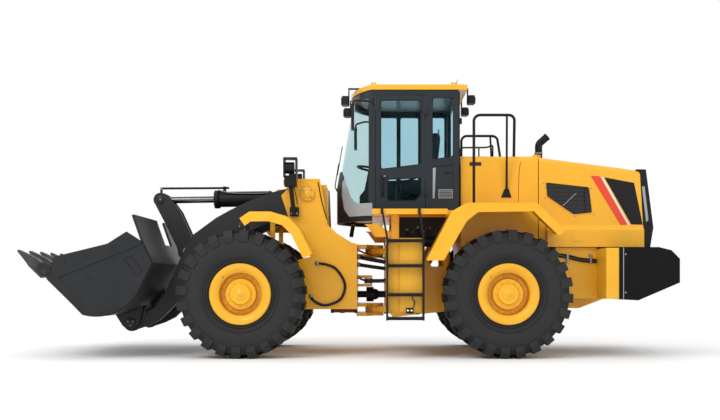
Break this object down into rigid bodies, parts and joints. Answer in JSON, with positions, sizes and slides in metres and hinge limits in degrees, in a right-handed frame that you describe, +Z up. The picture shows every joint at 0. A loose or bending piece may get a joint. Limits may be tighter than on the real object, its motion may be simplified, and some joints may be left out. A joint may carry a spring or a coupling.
{
  "type": "wheel loader",
  "caption": "Articulated wheel loader with a boom, a toothed bucket, an enclosed cab, a rear hood over the engine and large block-tread tyres.",
  "frame": {"origin": "on the ground, midway along the machine's length and width", "axes": "+X forward to the bucket, +Y to the driver's left, +Z up"},
  "size_m": [8.146, 3.04, 3.54],
  "materials": {
    "yellow_paint": "gloss machine enamel",
    "dark_grey_paint": "satin dark grey enamel",
    "black_paint": "satin black enamel",
    "cab_grey": "satin blue-grey enamel",
    "red_paint": "satin red enamel",
    "trim_silver": "satin silver-grey enamel",
    "rod_chrome": "polished rod",
    "pin_steel": "turned steel",
    "cast_block": "as-cast",
    "tyre_rubber": "moulded rubber",
    "black_plastic": "grained plastic",
    "tinted_glass": "pale tinted glass",
    "seat_cloth": "woven seat cover"
  },
  "bodies": {
    "rear_chassis": {"rear_frame": "yellow_paint", "rear_axle": "yellow_paint", "counterweight": "black_paint", "engine": "cast_block", "radiator": "black_paint", "rear_drive_shaft": "black_paint", "rear_fenders": "yellow_paint", "cab_frame": "cab_grey", "cab_floor": "yellow_paint", "cab_roof": "yellow_paint", "front_glass": "tinted_glass", "side_glass": "tinted_glass", "seat": "seat_cloth", "steering_console": "black_plastic", "deck": "yellow_paint", "tanks": "yellow_paint", "ladders": "black_paint", "handrails": "black_paint", "cowl": "yellow_paint", "exhaust": "black_paint", "roof_lamps": "black_plastic", "mirrors": "black_plastic", "cab_nose": "black_plastic", "cab_trim": "trim_silver"},
    "front_chassis": {"front_frame": "yellow_paint", "front_axle": "yellow_paint", "front_drive_shaft": "black_paint", "front_fenders": "yellow_paint", "head_lamps": "black_paint", "lock_bar": "red_paint"},
    "boom": {"boom": "dark_grey_paint"},
    "bucket_pins": {"bucket_pins": "pin_steel"},
    "bucket": {"bucket": "dark_grey_paint", "bucket_teeth": "dark_grey_paint"},
    "bellcrank_pin": {"bellcrank_pin": "pin_steel"},
    "bellcrank": {"bellcrank": "dark_grey_paint"},
    "link_pin": {"link_pin": "pin_steel"},
    "bucket_link": {"bucket_link": "dark_grey_paint"},
    "tilt_pin": {"tilt_cylinder_pin": "pin_steel"},
    "tilt_barrel": {"tilt_cylinder_barrel": "yellow_paint"},
    "tilt_rod": {"tilt_cylinder_rod": "rod_chrome"},
    "lift_barrels": {"lift_cylinder_barrels": "yellow_paint"},
    "lift_rods": {"lift_cylinder_rods": "rod_chrome"},
    "steer_barrel_left": {"steer_barrel_left": "yellow_paint"},
    "steer_rod_left": {"steer_rod_left": "rod_chrome"},
    "steer_barrel_right": {"steer_barrel_right": "yellow_paint"},
    "steer_rod_right": {"steer_rod_right": "rod_chrome"},
    "door": {"door": "cab_grey", "door_glass": "tinted_glass"},
    "hood": {"hood": "yellow_paint", "hood_bezel": "black_paint", "hood_grilles": "black_paint"},
    "front_left_wheel": {"tyre_front_left": "tyre_rubber", "rim_front_left": "yellow_paint"},
    "front_right_wheel": {"tyre_front_right": "tyre_rubber", "rim_front_right": "yellow_paint"},
    "rear_left_wheel": {"tyre_rear_left": "tyre_rubber", "rim_rear_left": "yellow_paint"},
    "rear_right_wheel": {"tyre_rear_right": "tyre_rubber", "rim_rear_right": "yellow_paint"}
  },
  "joints": [
    {"name": "steer", "type": "hinge", "parent": "rear_chassis", "child": "front_chassis", "pos_m": [-0.283, 0, 1.325], "axis": [0, 0, 1], "range_deg": [-38, 38]},
    {"name": "front_left_spin", "type": "hinge", "parent": "front_chassis", "child": "front_left_wheel", "pos_m": [1.367, 1.125, 0.795], "axis": [0, 1, 0], "continuous": true},
    {"name": "front_right_spin", "type": "hinge", "parent": "front_chassis", "child": "front_right_wheel", "pos_m": [1.367, -1.125, 0.795], "axis": [0, 1, 0], "continuous": true},
    {"name": "rear_left_spin", "type": "hinge", "parent": "rear_chassis", "child": "rear_left_wheel", "pos_m": [-1.933, 1.125, 0.795], "axis": [0, 1, 0], "continuous": true},
    {"name": "rear_right_spin", "type": "hinge", "parent": "rear_chassis", "child": "rear_right_wheel", "pos_m": [-1.933, -1.125, 0.795], "axis": [0, 1, 0], "continuous": true},
    {"name": "boom_lift", "type": "hinge", "parent": "front_chassis", "child": "boom", "pos_m": [0.592, 0, 2.095], "axis": [0, -1, 0], "range_deg": [-5.5, 80]},
    {"name": "bucket_level", "type": "hinge", "parent": "boom", "child": "bucket_pins", "pos_m": [2.902, 0, 0.415], "axis": [0, -1, 0], "range_deg": [-67.5, 4.92]},
    {"name": "bucket_tilt", "type": "hinge", "parent": "bucket_pins", "child": "bucket", "pos_m": [2.902, 0, 0.415], "axis": [0, 1, 0], "range_deg": [0, 97]},
    {"name": "bellcrank_lift", "type": "hinge", "parent": "boom", "child": "bellcrank_pin", "pos_m": [2.257, 0, 1.36], "axis": [0, -1, 0], "range_deg": [-2.14, 27.11]},
    {"name": "bellcrank_turn", "type": "hinge", "parent": "bellcrank_pin", "child": "bellcrank", "pos_m": [2.257, 0, 1.36], "axis": [0, -1, 0], "range_deg": [-0.3, 33.57]},
    {"name": "link_lift", "type": "hinge", "parent": "bucket", "child": "link_pin", "pos_m": [2.596, 0, 0.606], "axis": [0, -1, 0], "range_deg": [-4.48, 61.14]},
    {"name": "link_turn", "type": "hinge", "parent": "link_pin", "child": "bucket_link", "pos_m": [2.596, 0, 0.606], "axis": [0, -1, 0], "range_deg": [-0.3, 83.95]},
    {"name": "tilt_cylinder_lift", "type": "hinge", "parent": "front_chassis", "child": "tilt_pin", "pos_m": [1.027, 0, 2.085], "axis": [0, -1, 0], "range_deg": [-6.97, 97.35]},
    {"name": "tilt_cylinder_turn", "type": "hinge", "parent": "tilt_pin", "child": "tilt_barrel", "pos_m": [1.027, 0, 2.085], "axis": [0, -1, 0], "range_deg": [-0.3, 2.93]},
    {"name": "tilt_rod_slide", "type": "slide", "parent": "tilt_barrel", "child": "tilt_rod", "axis": [0.9999, 0, -0.0144], "range_m": [-0.4179, 0.01]},
    {"name": "lift_cylinder_turn", "type": "hinge", "parent": "front_chassis", "child": "lift_barrels", "pos_m": [0.437, 0, 0.73], "axis": [0, -1, 0], "range_deg": [-2.2, 27.92]},
    {"name": "lift_rod_slide", "type": "slide", "parent": "lift_barrels", "child": "lift_rods", "axis": [0.7285, 0, 0.685], "range_m": [-0.0735, 0.9334]},
    {"name": "steer_cylinder_turn_left", "type": "hinge", "parent": "rear_chassis", "child": "steer_barrel_left", "pos_m": [-1.183, 0.2, 0.96], "axis": [0, 0, 1], "range_deg": [-4.16, 4.16]},
    {"name": "steer_rod_slide_left", "type": "slide", "parent": "steer_barrel_left", "child": "steer_rod_left", "axis": [0.9981, 0.0611, 0], "range_m": [-0.173, 0.173]},
    {"name": "steer_cylinder_turn_right", "type": "hinge", "parent": "rear_chassis", "child": "steer_barrel_right", "pos_m": [-1.183, -0.2, 0.96], "axis": [0, 0, 1], "range_deg": [-4.16, 4.16]},
    {"name": "steer_rod_slide_right", "type": "slide", "parent": "steer_barrel_right", "child": "steer_rod_right", "axis": [0.9981, -0.0611, 0], "range_m": [-0.173, 0.173]},
    {"name": "door_swing", "type": "hinge", "parent": "rear_chassis", "child": "door", "pos_m": [-0.944, 0.796, 2.5], "axis": [0, 0, 1], "range_deg": [0, 90]},
    {"name": "hood_lift", "type": "hinge", "parent": "rear_chassis", "child": "hood", "pos_m": [-2.408, 0, 2.601], "axis": [0, 1, 0], "range_deg": [0, 45]}
  ],
  "couplings": [
    {"joint": "bucket_level", "follows": "boom_lift", "ratio": -0.84},
    {"joint": "bellcrank_lift", "follows": "boom_lift", "ratio": 0.33509},
    {"joint": "bellcrank_turn", "follows": "bucket_tilt", "ratio": 0.34302},
    {"joint": "link_lift", "follows": "boom_lift", "ratio": 0.76053},
    {"joint": "link_turn", "follows": "bucket_tilt", "ratio": 0.86233},
    {"joint": "tilt_cylinder_lift", "follows": "boom_lift", "ratio": 1.2132},
    {"joint": "tilt_cylinder_turn", "follows": "bucket_tilt", "ratio": 0.02711},
    {"joint": "tilt_rod_slide", "follows": "bucket_tilt", "m_per_rad": -0.24094},
    {"joint": "lift_cylinder_turn", "follows": "boom_lift", "ratio": 0.3452},
    {"joint": "lift_rod_slide", "follows": "boom_lift", "m_per_rad": 0.66132},
    {"joint": "steer_cylinder_turn_left", "follows": "steer", "ratio": 0.10151},
    {"joint": "steer_rod_slide_left", "follows": "steer", "m_per_rad": -0.24583},
    {"joint": "steer_cylinder_turn_right", "follows": "steer", "ratio": 0.10151},
    {"joint": "steer_rod_slide_right", "follows": "steer", "m_per_rad": 0.24583}
  ]
}
